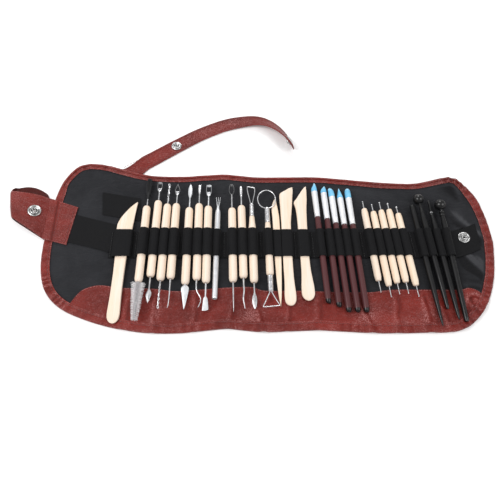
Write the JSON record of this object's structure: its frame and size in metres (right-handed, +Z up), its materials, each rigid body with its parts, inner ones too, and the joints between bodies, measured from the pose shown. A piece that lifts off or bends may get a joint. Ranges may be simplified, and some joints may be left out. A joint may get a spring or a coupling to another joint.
{
  "type": "clay shaping tool roll",
  "caption": "Opened roll-up case with clay shaping tools held in elastic loops, a folding end, a tab and a closing strap.",
  "frame": {"origin": "middle of the opened case's underside, on the table", "axes": "+X along the case to its right end, +Y to the edge that the tool tips point at, +Z up"},
  "size_m": [0.5538, 0.285, 0.0188],
  "materials": {
    "leather": "pebbled oxblood imitation leather, soft sheen",
    "lining": "matt charcoal woven lining",
    "elastic": "black ribbed woven elastic",
    "snap_metal": "nickel-plated press stud",
    "wood": "pale sanded wood with fine straight grain",
    "steel": "bright brushed stainless steel",
    "satin_ferrule": "satin white aluminium",
    "blue_silicone": "soft matt sky-blue silicone",
    "maroon_lacquer": "dark maroon lacquer on a round wooden handle",
    "black_plastic": "black moulded plastic with a soft shine"
  },
  "bodies": {
    "case": {"outer_cover": "leather", "lining": "lining", "lower_pocket": "leather", "elastic_band": "elastic", "lining_snap": "snap_metal"},
    "end_flap": {"end_flap": "leather"},
    "tab": {"tab_loop": "leather", "tab_snap": "snap_metal"},
    "strap": {"closing_strap": "leather"},
    "wooden_knife": {"wooden_knife": "wood"},
    "wire_brush": {"wire_brush_handle": "wood", "wire_brush_steel": "steel"},
    "diamond_blade": {"diamond_blade_handle": "wood", "diamond_blade_steel": "steel"},
    "twisted_wire": {"twisted_wire_handle": "wood", "twisted_wire_steel": "steel"},
    "hooked_needle": {"hooked_needle_handle": "wood", "hooked_needle_steel": "steel"},
    "spear_spatula": {"spear_spatula_handle": "wood", "spear_spatula_steel": "steel"},
    "bent_hook": {"bent_hook_handle": "wood", "bent_hook_steel": "steel"},
    "square_scraper": {"square_scraper_handle": "wood", "square_scraper_steel": "steel"},
    "tube_fork": {"tube_fork": "steel"},
    "spoon_needle": {"spoon_needle_handle": "wood", "spoon_needle_steel": "steel"},
    "bent_rod": {"bent_rod_handle": "wood", "bent_rod_steel": "steel"},
    "leaf_blade": {"leaf_blade_handle": "wood", "leaf_blade_steel": "steel"},
    "ribbon_loop": {"ribbon_loop_handle": "wood", "ribbon_loop_steel": "steel"},
    "pointed_stick": {"pointed_stick": "wood"},
    "slanted_stick": {"slanted_stick": "wood"},
    "hooked_stick": {"hooked_stick": "wood"},
    "chisel_shaper": {"chisel_shaper_handle": "maroon_lacquer", "chisel_shaper_ferrule": "satin_ferrule", "chisel_shaper_tip": "blue_silicone"},
    "angle_shaper": {"angle_shaper_handle": "maroon_lacquer", "angle_shaper_ferrule": "satin_ferrule", "angle_shaper_tip": "blue_silicone"},
    "cup_shaper": {"cup_shaper_handle": "maroon_lacquer", "cup_shaper_ferrule": "satin_ferrule", "cup_shaper_tip": "blue_silicone"},
    "cone_shaper": {"cone_shaper_handle": "maroon_lacquer", "cone_shaper_ferrule": "satin_ferrule", "cone_shaper_tip": "blue_silicone"},
    "round_shaper": {"round_shaper_handle": "maroon_lacquer", "round_shaper_ferrule": "satin_ferrule", "round_shaper_tip": "blue_silicone"},
    "ball_stylus_1": {"ball_stylus_1": "wood"},
    "ball_stylus_2": {"ball_stylus_2": "wood"},
    "ball_stylus_3": {"ball_stylus_3": "wood"},
    "ball_stylus_4": {"ball_stylus_4": "wood"},
    "ball_stylus_5": {"ball_stylus_5": "wood"},
    "black_taper_point": {"black_taper_point": "black_plastic"},
    "black_ball_end": {"black_ball_end": "black_plastic"},
    "black_needle_point": {"black_needle_point": "black_plastic"},
    "black_knob_end": {"black_knob_end": "black_plastic"}
  },
  "joints": [
    {"name": "end_flap_fold", "type": "hinge", "parent": "case", "child": "end_flap", "pos_m": [-0.181, 0, 0.0095], "axis": [0, 1, 0], "range_deg": [0, 150]},
    {"name": "tab_fold", "type": "hinge", "parent": "end_flap", "child": "tab", "pos_m": [-0.2526, 0.038, 0.005], "axis": [0, -1, 0], "range_deg": [-120, 0]},
    {"name": "strap_fold", "type": "hinge", "parent": "case", "child": "strap", "pos_m": [-0.16, 0.1045, 0.0032], "axis": [-0.9401, 0.341, 0], "range_deg": [-150, 0]},
    {"name": "wooden_knife_pull", "type": "slide", "parent": "case", "child": "wooden_knife", "axis": [0.0087, 1, 0], "range_m": [0, 0.11]},
    {"name": "wire_brush_pull", "type": "slide", "parent": "case", "child": "wire_brush", "axis": [0, -0.9991, 0.0419], "range_m": [0, 0.105]},
    {"name": "diamond_blade_pull", "type": "slide", "parent": "case", "child": "diamond_blade", "axis": [0.014, 0.9999, 0], "range_m": [0, 0.09]},
    {"name": "twisted_wire_pull", "type": "slide", "parent": "case", "child": "twisted_wire", "axis": [0.0122, 0.9999, 0], "range_m": [0, 0.095]},
    {"name": "hooked_needle_pull", "type": "slide", "parent": "case", "child": "hooked_needle", "axis": [0.007, 1, 0], "range_m": [0, 0.095]},
    {"name": "spear_spatula_pull", "type": "slide", "parent": "case", "child": "spear_spatula", "axis": [-0.0035, 1, 0], "range_m": [0, 0.095]},
    {"name": "bent_hook_pull", "type": "slide", "parent": "case", "child": "bent_hook", "axis": [0.014, -0.9999, 0], "range_m": [0, 0.095]},
    {"name": "square_scraper_pull", "type": "slide", "parent": "case", "child": "square_scraper", "axis": [-0.007, 1, 0], "range_m": [0, 0.098]},
    {"name": "tube_fork_pull", "type": "slide", "parent": "case", "child": "tube_fork", "axis": [0.0052, 1, 0], "range_m": [0, 0.085]},
    {"name": "spoon_needle_pull", "type": "slide", "parent": "case", "child": "spoon_needle", "axis": [-0.0297, 0.9996, 0], "range_m": [0, 0.098]},
    {"name": "bent_rod_pull", "type": "slide", "parent": "case", "child": "bent_rod", "axis": [-0.0332, 0.9995, 0], "range_m": [0, 0.095]},
    {"name": "leaf_blade_pull", "type": "slide", "parent": "case", "child": "leaf_blade", "axis": [-0.0279, 0.9996, 0], "range_m": [0, 0.095]},
    {"name": "ribbon_loop_pull", "type": "slide", "parent": "case", "child": "ribbon_loop", "axis": [-0.0262, 0.9997, 0], "range_m": [0, 0.04]},
    {"name": "pointed_stick_pull", "type": "slide", "parent": "case", "child": "pointed_stick", "axis": [-0.0244, 0.9997, 0], "range_m": [0, 0.092]},
    {"name": "slanted_stick_pull", "type": "slide", "parent": "case", "child": "slanted_stick", "axis": [-0.014, 0.9999, 0], "range_m": [0, 0.02]},
    {"name": "hooked_stick_pull", "type": "slide", "parent": "case", "child": "hooked_stick", "axis": [-0.0244, 0.9997, 0], "range_m": [0, 0.014]},
    {"name": "chisel_shaper_pull", "type": "slide", "parent": "case", "child": "chisel_shaper", "axis": [-0.0558, 0.9984, 0], "range_m": [0, 0.09]},
    {"name": "angle_shaper_pull", "type": "slide", "parent": "case", "child": "angle_shaper", "axis": [-0.0541, 0.9985, 0], "range_m": [0, 0.095]},
    {"name": "cup_shaper_pull", "type": "slide", "parent": "case", "child": "cup_shaper", "axis": [-0.0593, 0.9982, 0], "range_m": [0, 0.1]},
    {"name": "cone_shaper_pull", "type": "slide", "parent": "case", "child": "cone_shaper", "axis": [-0.0593, 0.9982, 0], "range_m": [0, 0.1]},
    {"name": "round_shaper_pull", "type": "slide", "parent": "case", "child": "round_shaper", "axis": [-0.0558, 0.9984, 0], "range_m": [0, 0.1]},
    {"name": "ball_stylus_1_pull", "type": "slide", "parent": "case", "child": "ball_stylus_1", "axis": [-0.0785, 0.9969, 0], "range_m": [0, 0.078]},
    {"name": "ball_stylus_2_pull", "type": "slide", "parent": "case", "child": "ball_stylus_2", "axis": [-0.0802, 0.9968, 0], "range_m": [0, 0.083]},
    {"name": "ball_stylus_3_pull", "type": "slide", "parent": "case", "child": "ball_stylus_3", "axis": [-0.0819, 0.9966, 0], "range_m": [0, 0.08]},
    {"name": "ball_stylus_4_pull", "type": "slide", "parent": "case", "child": "ball_stylus_4", "axis": [-0.0854, 0.9963, 0], "range_m": [0, 0.08]},
    {"name": "ball_stylus_5_pull", "type": "slide", "parent": "case", "child": "ball_stylus_5", "axis": [-0.0941, 0.9956, 0], "range_m": [0, 0.083]},
    {"name": "black_taper_point_pull", "type": "slide", "parent": "case", "child": "black_taper_point", "axis": [0.0837, -0.9965, 0], "range_m": [0, 0.068]},
    {"name": "black_ball_end_pull", "type": "slide", "parent": "case", "child": "black_ball_end", "axis": [-0.0975, 0.9948, 0.0279], "range_m": [0, 0.096]},
    {"name": "black_needle_point_pull", "type": "slide", "parent": "case", "child": "black_needle_point", "axis": [-0.0732, 0.9973, 0], "range_m": [0, 0.108]},
    {"name": "black_knob_end_pull", "type": "slide", "parent": "case", "child": "black_knob_end", "axis": [-0.0488, 0.9984, 0.0279], "range_m": [0, 0.11]}
  ]
}
